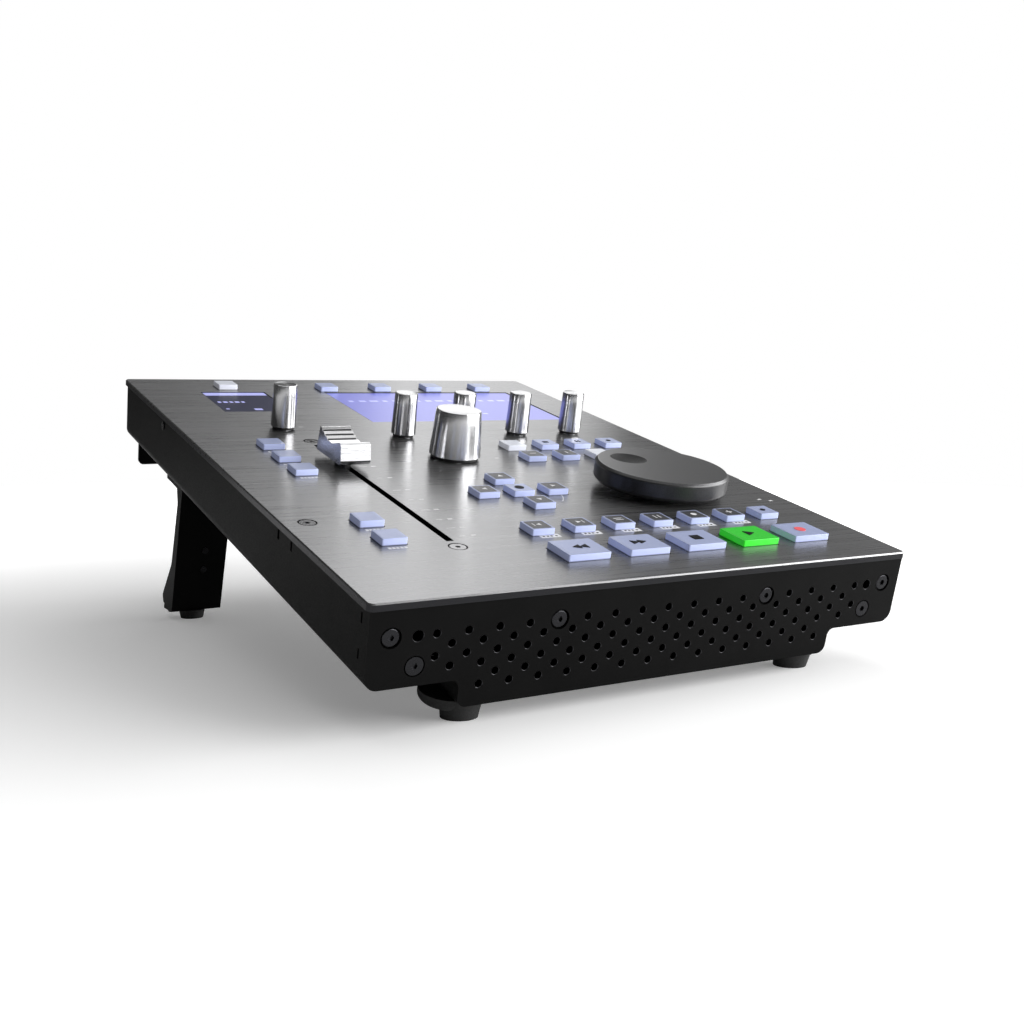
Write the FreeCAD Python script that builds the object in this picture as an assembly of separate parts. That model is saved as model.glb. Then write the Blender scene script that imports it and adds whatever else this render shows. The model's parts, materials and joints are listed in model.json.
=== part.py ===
import FreeCAD, Part
import math
import os

# Desktop single-fader control surface for music software, in millimetres.
# Every piece is drawn in the panel frame: origin at the middle of the top plate's
# front edge, +X right, +Y to the back, +Z up out of the plate. write() then tilts
# the piece by the slope that the rear stand gives the unit and puts the origin on
# the desk, in the middle of the footprint.

# ---- driving dimensions -------------------------------------------------------
TILT_DEG = 13.03
FLOOR_DROP = 38.4          # from the plate's front edge down to the desk

PLATE_W = 199.0
PLATE_D = 266.0
PLATE_T = 2.3
PLATE_CORNER_R = 2.0
PLATE_CHAMFER = 0.4

SHEET_T = 1.5
CASE_HALF_W = 98.7
WING_Z = -25.4             # underside of the shallow outer wings
BELLY_HALF_W = 70.0
BELLY_Z = -34.0            # underside of the deep middle
WING_R = 4.0
STEP_R = 2.5
BELLY_R = 3.0
CASE_FRONT_Y = 0.6
FRONT_T = 1.6
CASE_REAR_Y = 262.2
REAR_T = 1.8
REAR_LIP_HALF_W = 93.5
REAR_LIP_Z = -38.0

KEY_SIZE = 8.4
KEY_TOP_Z = 2.3
KEY_GAP = 0.35
KEY_CORNER_R = 0.5
KEY_SKIRT = 1.0            # flange under the plate that keeps a key in
KEY_SKIRT_TOP_Z = -2.7
KEY_SKIRT_T = 0.8
KEY_TIP_Z = -6.0
KEY_POST_R = 1.5
SWITCH_SIZE = 6.0
SWITCH_TOP_Z = -7.0
PAD_W = 15.4               # the five large transport pads
PAD_D = 12.8

BOARD_TOP_Z = -9.5
BOARD_T = 1.6

SMALL_KNOB_R = (4.9, 4.57)
SMALL_KNOB_TOP_Z = 18.0
BIG_KNOB_R = (9.94, 8.7)
BIG_KNOB_TOP_Z = 19.0
KNOB_BASE_Z = 0.8
SHAFT_R = 3.0
RUNNING_GAP = 0.05
BUSH_R = 3.5
BUSH_TOP_Z = 0.4
ENCODER_SIZE = 11.6

JOG_X = 52.5
JOG_Y = 79.0
JOG_R = 25.0
JOG_BASE_Z = 2.1
JOG_TOP_Z = 9.7
JOG_HUB_R = 9.0
JOG_SHAFT_R = 4.0
DIMPLE_DX = -8.2
DIMPLE_DY = 10.0
DIMPLE_R = 7.0
DIMPLE_DEPTH = 2.2

FADER_X = -54.7
SLOT_W = 2.6
SLOT_Y = (41.3, 152.3)
LEVER_T = 2.0
LEVER_L = 10.0
CAP_Y = 126.8              # where the cap rests
CAP_W = 11.4
CAP_L = 23.0
CAP_BASE_Z = 2.5
CAP_TOP_Z = 11.7
CAP_VALLEY_Z = 8.2
RAIL_Z = -15.0
RAIL_DX = 4.2
RAIL_R = 1.5
FADER_Y = (28.0, 168.0)

SCREW_HEAD_R = 2.6
SCREW_RECESS_R = 3.1
SCREW_SINK = 1.2
SOCKET_R = 0.9

LEG_X = (76.0, 96.2)
LEG_T = 1.8
LEG_FOOT = (87.0, 195.4)
LEG_FOOT_R = 5.2
LEG_SOLE_GAP = 3.4         # from the leg's lower tab down to the desk
LEG_PIN_X = 84.8
LEG_PIN_Z = (-53.0, -61.5)
LEG_PIN_R = 1.3

VENT_PITCH = 9.8
VENT_R = 1.3

REAR_PORT_Z = -19.0
JACK_BORE_R = 3.2
JACK_BORE_L = 14.0
JACK_X = (28.0, 52.0)
INLET_X = -60.0
INLET_R = 5.0
POWER_X = -42.0
POWER_R = 4.0
POWER_TRAVEL = 1.6
USB_X = (-24.0, -8.0)
USB_W = 9.0
USB_H = 3.3
LOCK_X = 80.0

# ---- where the controls sit on the plate ---------------------------------------
SMALL_KNOBS = {"knob_channel": (-59.3, 176.7)}
for number in range(4):
    SMALL_KNOBS["knob_" + str(number + 1)] = (-14.2 + 26.55 * number, 162.0)
BIG_KNOB = (-7.4, 130.1)

KEYS = {}
for name, y in (("solo", 150.8), ("cut", 134.2), ("select", 117.5), ("flip", 61.8), ("master", 45.2)):
    KEYS["key_" + name] = (-73.4, y)
KEYS["key_page"] = (-60.1, 248.8)
for number in range(4):
    KEYS["key_soft_" + str(number + 1)] = (-14.2 + 26.55 * number, 245.1)
NAV_X = -6.1
NAV_Y = 83.1
NAV_PITCH = 14.1
for name, right, back in (("up", 0, 1), ("left", -1, 0), ("mode", 0, 0), ("right", 1, 0), ("down", 0, -1)):
    KEYS["key_nav_" + name] = (NAV_X + NAV_PITCH * right, NAV_Y + NAV_PITCH * back)
for number in range(7):
    KEYS["key_row_" + str(number + 1)] = (-22.0 + 15.87 * number, 44.4)
for number in range(7):
    column = number % 4
    KEYS["key_upper_" + str(number + 1)] = (24.4 + 15.7 * column, 140.4 - 16.0 * (number // 4))

PADS = {}
for number, name in enumerate(("rewind", "forward", "stop", "play", "record")):
    PADS["pad_" + name] = (-19.9 + 22.8 * number, 23.0)

DISPLAYS = {
    "main_display": (-17.0, 185.5, 95.0, 53.9, 3.5, 7.5, 0.0),
    "channel_display": (-73.5, 205.3, 28.2, 35.0, 3.0, 14.0, 2.5),
}

PLATE_SCREWS = ((-91.3, 65.6), (FADER_X, 36.3), (FADER_X, 157.8))
FRONT_BUTTON_SCREWS = ((-92.0, -10.5), (-39.1, -10.6), (39.1, -10.6), (91.6, -10.7))
FRONT_FLUSH_SCREWS = ((-84.3, -19.5), (84.3, -19.5))
FRONT_BIG_VENTS = ((-84.0, -10.7), (84.0, -10.7))
SIDE_SCREW = (203.9, -5.2)


# ---- frame helpers ---------------------------------------------------------------
sine = math.sin(math.radians(TILT_DEG))
cosine = math.cos(math.radians(TILT_DEG))
rear_reach = (CASE_REAR_Y + REAR_T) * cosine - REAR_LIP_Z * sine
CENTRE_Y = rear_reach / 2.0


def to_row(shape):
    tilted = shape.copy()
    tilted.rotate(FreeCAD.Vector(0, 0, 0), FreeCAD.Vector(1, 0, 0), TILT_DEG)
    tilted.translate(FreeCAD.Vector(0, -CENTRE_Y, FLOOR_DROP))
    return tilted


def write(node, *solids):
    placed = [to_row(solid) for solid in solids]
    shape = placed[0] if len(placed) == 1 else Part.makeCompound(placed)
    for solid in shape.Solids:
        if not solid.isValid():
            print("not valid:", node)
    box = shape.BoundBox
    print(f"{node:20s} solids {len(shape.Solids)} x {box.XMin:.2f} {box.XMax:.2f}"
          f" y {box.YMin:.2f} {box.YMax:.2f} z {box.ZMin:.2f} {box.ZMax:.2f}")
    shape.exportStep(f"parts/{node}.step")


def floor_cutter():
    # everything below the desk, as a block in the panel frame
    block = Part.makeBox(400, 600, 60, FreeCAD.Vector(-200, -300, -FLOOR_DROP - 60))
    block.rotate(FreeCAD.Vector(0, 0, 0), FreeCAD.Vector(1, 0, 0), -TILT_DEG)
    return block


# ---- shape helpers -----------------------------------------------------------------
def block(x0, x1, y0, y1, z0, z1):
    return Part.makeBox(x1 - x0, y1 - y0, z1 - z0, FreeCAD.Vector(x0, y0, z0))


def post(x, y, z0, z1, radius):
    return Part.makeCylinder(radius, z1 - z0, FreeCAD.Vector(x, y, z0))


def rod_y(x, z, y0, y1, radius):
    return Part.makeCylinder(radius, y1 - y0, FreeCAD.Vector(x, y0, z), FreeCAD.Vector(0, 1, 0))


def rounded_face(corners, to_vector):
    # a closed outline from (u, v, radius) corners, each rounded by a tangent arc
    edges = []
    joints = []
    count = len(corners)
    for index, (u, v, radius) in enumerate(corners):
        here = FreeCAD.Vector(u, v, 0)
        before = FreeCAD.Vector(*corners[index - 1][:2], 0) - here
        after = FreeCAD.Vector(*corners[(index + 1) % count][:2], 0) - here
        before.normalize()
        after.normalize()
        if radius <= 0:
            joints.append((here, None, here))
            continue
        half = before.getAngle(after) / 2.0
        reach = radius / math.tan(half)
        toward = before + after
        toward.normalize()
        middle = here + toward * (radius / math.sin(half) - radius)
        joints.append((here + before * reach, middle, here + after * reach))
    for index, (start, middle, end) in enumerate(joints):
        if middle is not None:
            edges.append(Part.Arc(to_vector(start), to_vector(middle), to_vector(end)).toShape())
        following = joints[(index + 1) % count][0]
        if (following - end).Length > 1e-6:
            edges.append(Part.LineSegment(to_vector(end), to_vector(following)).toShape())
    return Part.Face(Part.Wire(edges))


def plan_prism(corners, z0, z1):
    face = rounded_face(corners, lambda p: FreeCAD.Vector(p.x, p.y, z0))
    return face.extrude(FreeCAD.Vector(0, 0, z1 - z0))


def section_prism(corners, y0, y1):
    face = rounded_face(corners, lambda p: FreeCAD.Vector(p.x, y0, p.y))
    return face.extrude(FreeCAD.Vector(0, y1 - y0, 0))


def side_prism(corners, x0, x1):
    face = rounded_face(corners, lambda p: FreeCAD.Vector(x0, p.x, p.y))
    return face.extrude(FreeCAD.Vector(x1 - x0, 0, 0))


def rounded_block(x, y, width, depth, z0, z1, radius):
    x0, x1, y0, y1 = x - width / 2, x + width / 2, y - depth / 2, y + depth / 2
    corners = [(x0, y0, radius), (x1, y0, radius), (x1, y1, radius), (x0, y1, radius)]
    return plan_prism(corners, z0, z1)


def edges_at_z(solid, z):
    return [edge for edge in solid.Edges
            if abs(edge.BoundBox.ZMin - z) < 1e-4 and abs(edge.BoundBox.ZMax - z) < 1e-4]


def hex_socket(x, y, z0, z1, radius):
    points = []
    for corner in range(7):
        angle = math.radians(60 * corner)
        points.append(FreeCAD.Vector(x + radius * math.cos(angle), y + radius * math.sin(angle), z0))
    return Part.Face(Part.makePolygon(points)).extrude(FreeCAD.Vector(0, 0, z1 - z0))


def mirrored(shape):
    return shape.mirror(FreeCAD.Vector(0, 0, 0), FreeCAD.Vector(1, 0, 0))


def case_outline(inset):
    # cross-section of the case: shallow wings either side of a deep belly
    wide = CASE_HALF_W - inset
    belly = BELLY_HALF_W - inset
    wing_z = WING_Z + inset
    belly_z = BELLY_Z + inset
    left = [(-wide, -PLATE_T, 0), (-wide, wing_z, WING_R - inset),
            (-belly, wing_z, STEP_R + inset), (-belly, belly_z, BELLY_R - inset)]
    right = [(-x, z, radius) for x, z, radius in reversed(left)]
    return left + right


# ---- case -------------------------------------------------------------------------
def top_plate():
    half = PLATE_W / 2
    corners = [(-half, 0, PLATE_CORNER_R), (half, 0, PLATE_CORNER_R),
               (half, PLATE_D, PLATE_CORNER_R), (-half, PLATE_D, PLATE_CORNER_R)]
    plate = plan_prism(corners, -PLATE_T, 0)
    plate = plate.makeChamfer(PLATE_CHAMFER, edges_at_z(plate, 0))
    below, above = -PLATE_T - 1, 1
    cuts = [rounded_block(FADER_X, sum(SLOT_Y) / 2, SLOT_W, SLOT_Y[1] - SLOT_Y[0], below, above, 0.4)]
    for x, y in KEYS.values():
        size = KEY_SIZE + 2 * KEY_GAP
        cuts.append(rounded_block(x, y, size, size, below, above, KEY_CORNER_R + KEY_GAP))
    for x, y in PADS.values():
        width, depth = PAD_W + 2 * KEY_GAP, PAD_D + 2 * KEY_GAP
        cuts.append(rounded_block(x, y, width, depth, below, above, KEY_CORNER_R + KEY_GAP))
    for x, y in list(SMALL_KNOBS.values()) + [BIG_KNOB]:
        cuts.append(post(x, y, below, above, BUSH_R + 0.1))
    cuts.append(post(JOG_X, JOG_Y, below, above, JOG_HUB_R - 1.4))
    for x, y, width, depth, _, _, _ in DISPLAYS.values():
        cuts.append(block(x - 0.15, x + width + 0.15, y - 0.15, y + depth + 0.15, below, above))
    for x, y in PLATE_SCREWS:
        cuts.append(post(x, y, -SCREW_SINK, above, SCREW_RECESS_R))
        cuts.append(post(x, y, below, above, 1.6))
    return plate.cut(cuts)


def chassis_shell():
    outer = section_prism(case_outline(0), CASE_FRONT_Y + FRONT_T, CASE_REAR_Y)
    inner = section_prism(case_outline(SHEET_T), 0, PLATE_D)
    shell = outer.cut(inner)
    cuts = []
    for side in (-1, 1):
        x0, x1 = sorted((side * (CASE_HALF_W - 2 * SHEET_T), side * (CASE_HALF_W + 1)))
        cuts.append(block(x0, x1, 5.0, 5.9, -7.4, -4.2))
        cuts.append(block(x0, x1, 5.4, 6.3, -17.8, -14.8))
        cuts.append(block(x0, x1, 57.9, 59.3, -6.4, -3.2))
        cuts.append(block(x0, x1, 69.0, 70.6, -6.4, -3.2))
        pilot = Part.makeCylinder(1.1, 6, FreeCAD.Vector(x0, SIDE_SCREW[0], SIDE_SCREW[1]),
                                  FreeCAD.Vector(1, 0, 0))
        cuts.append(pilot)
        for x, y in leg_bolts(side):
            cuts.append(post(x, y, WING_Z - 1, WING_Z + 3, 1.6))
    return shell.cut(cuts)


def vent_centres():
    pitch_z = 3.35
    top_z = -10.6
    reach = (8, 8, 8, 8, 6, 7)
    centres = []
    for row, columns in enumerate(reach):
        offset = 0.5 * (row % 2)
        for step in range(-columns, columns + 1 - row % 2):
            x = (step + offset) * VENT_PITCH
            centres.append((x, top_z - row * pitch_z))
    taken = {(round(x), round(z)) for x, z in FRONT_BUTTON_SCREWS}
    return [centre for centre in centres if (round(centre[0]), round(centre[1])) not in taken]


def front_panel():
    y0, y1 = CASE_FRONT_Y, CASE_FRONT_Y + FRONT_T
    panel = section_prism(case_outline(0), y0, y1)
    cuts = [rod_y(x, z, y0 - 1, y1 + 1, VENT_R) for x, z in vent_centres()]
    cuts += [rod_y(x, z, y0 - 1, y1 + 1, 1.75) for x, z in FRONT_BIG_VENTS]
    for x, z in FRONT_BUTTON_SCREWS + FRONT_FLUSH_SCREWS:
        cuts.append(rod_y(x, z, y0 - 1, y0 + 1.1, SCREW_RECESS_R))
        cuts.append(rod_y(x, z, y0 - 1, y1 + 1, 1.6))
    return panel.cut(cuts)


def rear_panel():
    outline = [(-CASE_HALF_W, -PLATE_T, 0), (-CASE_HALF_W, WING_Z, WING_R),
               (-REAR_LIP_HALF_W, WING_Z, 1), (-REAR_LIP_HALF_W, REAR_LIP_Z, 2)]
    outline += [(-x, z, radius) for x, z, radius in reversed(outline)]
    y0, y1 = CASE_REAR_Y, CASE_REAR_Y + REAR_T
    panel = section_prism(outline, y0, y1)
    cuts = [rod_y(x, REAR_PORT_Z, y0 - 1, y1 + 1, 5.1) for x in JACK_X]
    cuts.append(rod_y(INLET_X, REAR_PORT_Z, y0 - 1, y1 + 1, INLET_R + 0.1))
    cuts.append(rod_y(POWER_X, REAR_PORT_Z, y0 - 1, y1 + 1, POWER_R + KEY_GAP))
    for x in USB_X:
        cuts.append(usb_outline(x, USB_W + 0.3, USB_H + 0.3, y0 - 1, y1 + 1))
    cuts.append(usb_outline(LOCK_X, 7.2, 3.2, y0 - 1, y1 + 1))
    return panel.cut(cuts)


# ---- rear connectors ------------------------------------------------------------------
def usb_outline(x, width, height, y0, y1):
    z = REAR_PORT_Z
    radius = height / 2 - 0.01
    corners = [(x - width / 2, z - height / 2, radius), (x + width / 2, z - height / 2, radius),
               (x + width / 2, z + height / 2, radius), (x - width / 2, z + height / 2, radius)]
    return section_prism(corners, y0, y1)


def jack(x):
    back = CASE_REAR_Y + REAR_T
    body = block(x - 8, x + 8, CASE_REAR_Y - 24, CASE_REAR_Y - 0.05, REAR_PORT_Z - 7.5, REAR_PORT_Z + 7.5)
    sleeve = rod_y(x, REAR_PORT_Z, CASE_REAR_Y - 1, back + 2.6, 4.9)
    points = []
    for corner in range(7):
        angle = math.radians(60 * corner)
        points.append(FreeCAD.Vector(x + 7.2 * math.cos(angle), back + 0.05,
                                     REAR_PORT_Z + 7.2 * math.sin(angle)))
    nut = Part.Face(Part.makePolygon(points)).extrude(FreeCAD.Vector(0, 2.0, 0))
    bore = rod_y(x, REAR_PORT_Z, back + 2.6 - JACK_BORE_L, back + 4, JACK_BORE_R)
    return body.fuse([sleeve, nut]).cut(bore)


def usb_socket(x):
    face = CASE_REAR_Y + REAR_T
    body = usb_outline(x, USB_W, USB_H, face - 9, face + 0.1)
    hollow = usb_outline(x, USB_W - 0.7, USB_H - 0.7, face - 6.6, face + 1)
    tongue = block(x - 3.3, x + 3.3, face - 6.8, face - 1.2, REAR_PORT_Z - 0.35, REAR_PORT_Z + 0.35)
    return body.cut(hollow).fuse(tongue)


def power_inlet():
    face = CASE_REAR_Y + REAR_T
    body = block(INLET_X - 5.5, INLET_X + 5.5, CASE_REAR_Y - 12, CASE_REAR_Y - 0.05,
                 REAR_PORT_Z - 6, REAR_PORT_Z + 5.5)
    collar = rod_y(INLET_X, REAR_PORT_Z, CASE_REAR_Y - 1, face + 0.6, INLET_R)
    well = rod_y(INLET_X, REAR_PORT_Z, CASE_REAR_Y - 9, face + 2, 3.2)
    pin = rod_y(INLET_X, REAR_PORT_Z, CASE_REAR_Y - 9.5, face - 0.6, 1.0)
    return body.fuse(collar).cut(well).fuse(pin)


def power_button():
    face = CASE_REAR_Y + REAR_T
    cap = rod_y(POWER_X, REAR_PORT_Z, CASE_REAR_Y - 2.2, face + 2.4, POWER_R)
    cap = cap.makeChamfer(0.5, [edge for edge in cap.Edges if edge.BoundBox.YMin > face + 2.3])
    skirt = rod_y(POWER_X, REAR_PORT_Z, CASE_REAR_Y - 2.6, CASE_REAR_Y - 0.6, POWER_R + 1.2)
    stem = rod_y(POWER_X, REAR_PORT_Z, CASE_REAR_Y - 8, CASE_REAR_Y - 2.4, 1.8)
    return cap.fuse([skirt, stem])


def power_switch():
    return block(POWER_X - 4, POWER_X + 4, CASE_REAR_Y - 20, CASE_REAR_Y - 8 - POWER_TRAVEL - 0.4,
                 REAR_PORT_Z - 4, REAR_PORT_Z + 7.6)


# ---- keys and what they press -----------------------------------------------------------
def key(x, y, width, depth):
    cap = rounded_block(x, y, width, depth, KEY_SKIRT_TOP_Z - 0.4, KEY_TOP_Z, KEY_CORNER_R)
    cap = cap.makeChamfer(0.25, edges_at_z(cap, KEY_TOP_Z))
    skirt = rounded_block(x, y, width + 2 * KEY_SKIRT, depth + 2 * KEY_SKIRT,
                          KEY_SKIRT_TOP_Z - KEY_SKIRT_T, KEY_SKIRT_TOP_Z, KEY_CORNER_R)
    stem = post(x, y, KEY_TIP_Z, KEY_SKIRT_TOP_Z - 0.4, KEY_POST_R)
    return cap.fuse([skirt, stem])


def switches():
    half = SWITCH_SIZE / 2
    solids = []
    for x, y in list(KEYS.values()) + list(PADS.values()):
        body = block(x - half, x + half, y - half, y + half, BOARD_TOP_Z, SWITCH_TOP_Z - 0.6)
        solids.append(body.fuse(post(x, y, SWITCH_TOP_Z - 0.8, SWITCH_TOP_Z, 1.7)))
    return solids + [power_switch()]


# ---- knobs ----------------------------------------------------------------------------
def knob(x, y, radii, top_z):
    low_r, high_r = radii
    body = Part.makeCone(low_r, high_r, top_z - KNOB_BASE_Z, FreeCAD.Vector(x, y, KNOB_BASE_Z))
    body = body.makeFillet(0.35, edges_at_z(body, top_z))
    socket_depth = 11.0
    socket = post(x, y, KNOB_BASE_Z - 1, KNOB_BASE_Z + socket_depth, SHAFT_R)
    shaft = post(x, y, BOARD_TOP_Z + 2.5, KNOB_BASE_Z + socket_depth, SHAFT_R)
    return body.cut(socket), shaft


def encoder(x, y):
    half = ENCODER_SIZE / 2
    case_top = -PLATE_T - 0.2
    body = block(x - half, x + half, y - half, y + half, BOARD_TOP_Z, case_top)
    bush = post(x, y, case_top - 1, BUSH_TOP_Z, BUSH_R)
    bore = post(x, y, BOARD_TOP_Z + 2.0, BUSH_TOP_Z + 1, SHAFT_R + RUNNING_GAP)
    return body.fuse(bush).cut(bore)


def jog_wheel():
    outline = [(0, JOG_BASE_Z, 0), (JOG_R - 1.2, JOG_BASE_Z, 0.8), (JOG_R, JOG_BASE_Z + 1.4, 0.8),
               (JOG_R, JOG_TOP_Z - 1.0, 0.7), (JOG_R - 1.0, JOG_TOP_Z, 0.4), (0, JOG_TOP_Z, 0)]
    section = rounded_face(outline, lambda p: FreeCAD.Vector(JOG_X + p.x, JOG_Y, p.y))
    wheel = section.revolve(FreeCAD.Vector(JOG_X, JOG_Y, 0), FreeCAD.Vector(0, 0, 1), 360)
    ball_r = (DIMPLE_R ** 2 + DIMPLE_DEPTH ** 2) / (2 * DIMPLE_DEPTH)
    centre = FreeCAD.Vector(JOG_X + DIMPLE_DX, JOG_Y + DIMPLE_DY, JOG_TOP_Z - DIMPLE_DEPTH + ball_r)
    wheel = wheel.cut(Part.makeSphere(ball_r, centre))
    hub = post(JOG_X, JOG_Y, 0.7, JOG_BASE_Z + 1, JOG_HUB_R)
    shaft = post(JOG_X, JOG_Y, -8.0, 1.5, JOG_SHAFT_R)
    return wheel.fuse([hub, shaft])


def jog_bearing():
    sleeve = post(JOG_X, JOG_Y, -PLATE_T - 2, 0.3, JOG_HUB_R - 1.6)
    flange = post(JOG_X, JOG_Y, BOARD_TOP_Z, -PLATE_T - 0.1, 14.0)
    bore = post(JOG_X, JOG_Y, BOARD_TOP_Z + 0.8, 2, JOG_SHAFT_R + RUNNING_GAP)
    return sleeve.fuse(flange).cut(bore)


# ---- fader ------------------------------------------------------------------------------
def fader_body():
    y0, y1 = FADER_Y
    case = block(FADER_X - 8.5, FADER_X + 8.5, y0, y1, -22.0, -4.0)
    hollow = block(FADER_X - 7.3, FADER_X + 7.3, y0 + 3, y1 - 3, -20.8, -5.2)
    slot = block(FADER_X - 2.2, FADER_X + 2.2, SLOT_Y[0] - 1, SLOT_Y[1] + 1, -6, -3)
    rails = [rod_y(FADER_X + dx, RAIL_Z, y0 + 2.5, y1 - 2.5, RAIL_R) for dx in (-RAIL_DX, RAIL_DX)]
    motor = rod_y(FADER_X, -24.5, y1 - 38, y1 - 2, 7.6)
    cut_back = block(FADER_X - 10, FADER_X + 10, y1 - 40, y1, -40, -32.2)
    motor = motor.cut([cut_back, hollow])
    body = case.cut([hollow, slot]).fuse(rails + [motor])
    return body.cut([post(x, y, -8, -3, 1.5) for x, y in PLATE_SCREWS if x == FADER_X])


def fader_carriage():
    half = LEVER_L / 2
    truck = block(FADER_X - 6.6, FADER_X + 6.6, CAP_Y - half - 3, CAP_Y + half + 3, -18.2, -11.8)
    holes = [rod_y(FADER_X + dx, RAIL_Z, CAP_Y - 20, CAP_Y + 20, RAIL_R + RUNNING_GAP)
             for dx in (-RAIL_DX, RAIL_DX)]
    lever = block(FADER_X - LEVER_T / 2, FADER_X + LEVER_T / 2, CAP_Y - half, CAP_Y + half, -12.5, 6.5)
    return truck.cut(holes).fuse(lever)


def fader_cap():
    front = CAP_Y - CAP_L / 2
    back = CAP_Y + CAP_L / 2
    outline = [
        (front + 1.2, CAP_BASE_Z, 0.2), (front, CAP_BASE_Z + 1.3, 0.3), (front + 1.0, CAP_TOP_Z - 1.9, 0.6),
        (front + 2.2, CAP_TOP_Z - 1.3, 0.8), (CAP_Y - 2.6, CAP_VALLEY_Z, 4.5),
        (CAP_Y + 0.8, CAP_VALLEY_Z + 0.4, 0.2), (CAP_Y + 1.3, CAP_VALLEY_Z - 0.1, 0.2),
        (CAP_Y + 3.4, CAP_VALLEY_Z + 1.4, 0.2), (CAP_Y + 3.9, CAP_VALLEY_Z + 0.9, 0.2),
        (CAP_Y + 6.0, CAP_VALLEY_Z + 2.4, 0.2), (CAP_Y + 6.5, CAP_VALLEY_Z + 1.9, 0.2),
        (CAP_Y + 8.0, CAP_TOP_Z, 0.3), (back - 2.3, CAP_TOP_Z, 0.4), (back, CAP_BASE_Z, 0.3)]
    half = CAP_W / 2
    cap = side_prism(outline, FADER_X - half, FADER_X + half)
    socket = block(FADER_X - LEVER_T / 2, FADER_X + LEVER_T / 2, CAP_Y - LEVER_L / 2,
                   CAP_Y + LEVER_L / 2, CAP_BASE_Z - 2, 6.5)
    return cap.cut(socket)


# ---- displays and board ---------------------------------------------------------------
def display(x, y, width, depth, rim_side, rim_front, rim_back):
    window = block(x, x + width, y, y + depth, -PLATE_T - 1.0, -0.25)
    module = block(x - rim_side, x + width + rim_side, y - rim_front, y + depth + rim_back,
                   -6.4, -PLATE_T - 0.1)
    return window.fuse(module)


def main_board():
    z0, z1 = BOARD_TOP_Z - BOARD_T, BOARD_TOP_Z - 0.02
    board = block(-93, 93, 12, 254, z0, z1)
    fader_bay = block(FADER_X - 9.5, FADER_X + 9.5, FADER_Y[0] - 1, FADER_Y[1] + 1, z0 - 1, z1 + 1)
    return board.cut(fader_bay)


# ---- feet, stand and screws -------------------------------------------------------------
def front_foot(side):
    pad = post(side * 66.0, 13.0, BELLY_Z - 4.0, BELLY_Z, 9.0)
    pad = pad.makeFillet(2.6, edges_at_z(pad, BELLY_Z - 4.0))
    drop = 9.5
    nose = Part.makeCone(5.2, 6.6, drop, FreeCAD.Vector(side * 64.0, 9.0, BELLY_Z - drop))
    return pad.fuse(nose).cut(floor_cutter())


def leg_points():
    # a line down the leg's front face, leaning back, and the floor-parallel tab below it
    top = (183.4, WING_Z)
    toe = (192.3, (LEG_SOLE_GAP - FLOOR_DROP - 192.3 * sine) / cosine)
    return top, toe


def leg_bolts(side):
    return [(side * x, 198.5) for x in (81.5, 90.5)]


def leg_pins():
    # (y, z) of the two pins where they meet the front of the leaning web
    top, toe = leg_points()
    slope = (toe[0] - top[0]) / (top[1] - toe[1])
    return [(top[0] + (WING_Z - z) * slope, z) for z in LEG_PIN_Z]


def stand_leg(side):
    top, toe = leg_points()
    x0, x1 = LEG_X
    web = side_prism([(top[0], top[1], 0), (toe[0], toe[1], 0), (toe[0] + LEG_T, toe[1], 0),
                      (top[0] + LEG_T, top[1], 0)], x0, x1)
    tab = block(x0, x1, top[0], top[0] + 22.0, WING_Z - LEG_T, WING_Z)
    sole_back = toe[0] + 11.5
    drop = (sole_back - toe[0]) * sine / cosine
    sole = side_prism([(toe[0], toe[1], 0), (sole_back, toe[1] - drop, 0),
                       (sole_back, toe[1] - drop + LEG_T, 0), (toe[0], toe[1] + LEG_T, 0)], x0, x1)
    flange = side_prism([
        (top[0], top[1], 0), (toe[0], toe[1], 0), (toe[0] + 4.0, toe[1] - 1.5, 0.6),
        (toe[0] + 13.0, toe[1] - 0.4, 1.0), (toe[0] + 14.2, toe[1] + 2.6, 1.5),
        (194.9, -60.5, 9.0), (189.3, -33.0, 6.0), (191.5, WING_Z, 0)], x1 - LEG_T, x1)
    leg = web.fuse([tab, sole, flange])
    cuts = [post(abs(x), y, WING_Z - 5, WING_Z + 1, 1.6) for x, y in leg_bolts(1)]
    for y, z in leg_pins():
        cuts.append(rod_y(LEG_PIN_X, z, y - 3, y + 6, LEG_PIN_R))
    leg = leg.cut(cuts)
    return leg if side > 0 else mirrored(leg)


def stand_foot(side):
    x, y = LEG_FOOT
    row_y = y * cosine - (LEG_SOLE_GAP - FLOOR_DROP - y * sine) / cosine * sine
    foot = Part.makeCone(LEG_FOOT_R - 0.7, LEG_FOOT_R, LEG_SOLE_GAP,
                         FreeCAD.Vector(side * x, row_y, -FLOOR_DROP))
    foot.rotate(FreeCAD.Vector(0, 0, 0), FreeCAD.Vector(1, 0, 0), -TILT_DEG)
    return foot


def plate_screw(x, y):
    head = post(x, y, -SCREW_SINK, -0.05, SCREW_HEAD_R)
    shank = post(x, y, -PLATE_T - 4.0, -SCREW_SINK, 1.4)
    return head.fuse(shank).cut(hex_socket(x, y, -1.0, 1, SOCKET_R))


def front_screw(x, z, proud):
    # proud: how far the head stands out of the panel's recess floor
    floor_y = CASE_FRONT_Y + 1.1
    head = rod_y(x, z, floor_y - proud, floor_y, 2.7)
    if proud < 1:
        rim = [edge for edge in head.Edges if edge.BoundBox.YMax < floor_y - proud + 0.01]
        head = head.makeFillet(0.5, rim)
    shank = rod_y(x, z, floor_y, floor_y + 5.5, 1.4)
    socket = hex_socket(0, 0, 0, 3, 1.0)
    socket.rotate(FreeCAD.Vector(0, 0, 0), FreeCAD.Vector(1, 0, 0), -90)
    socket.translate(FreeCAD.Vector(x, floor_y - proud - 2.3, z))
    return head.fuse(shank).cut(socket)


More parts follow.
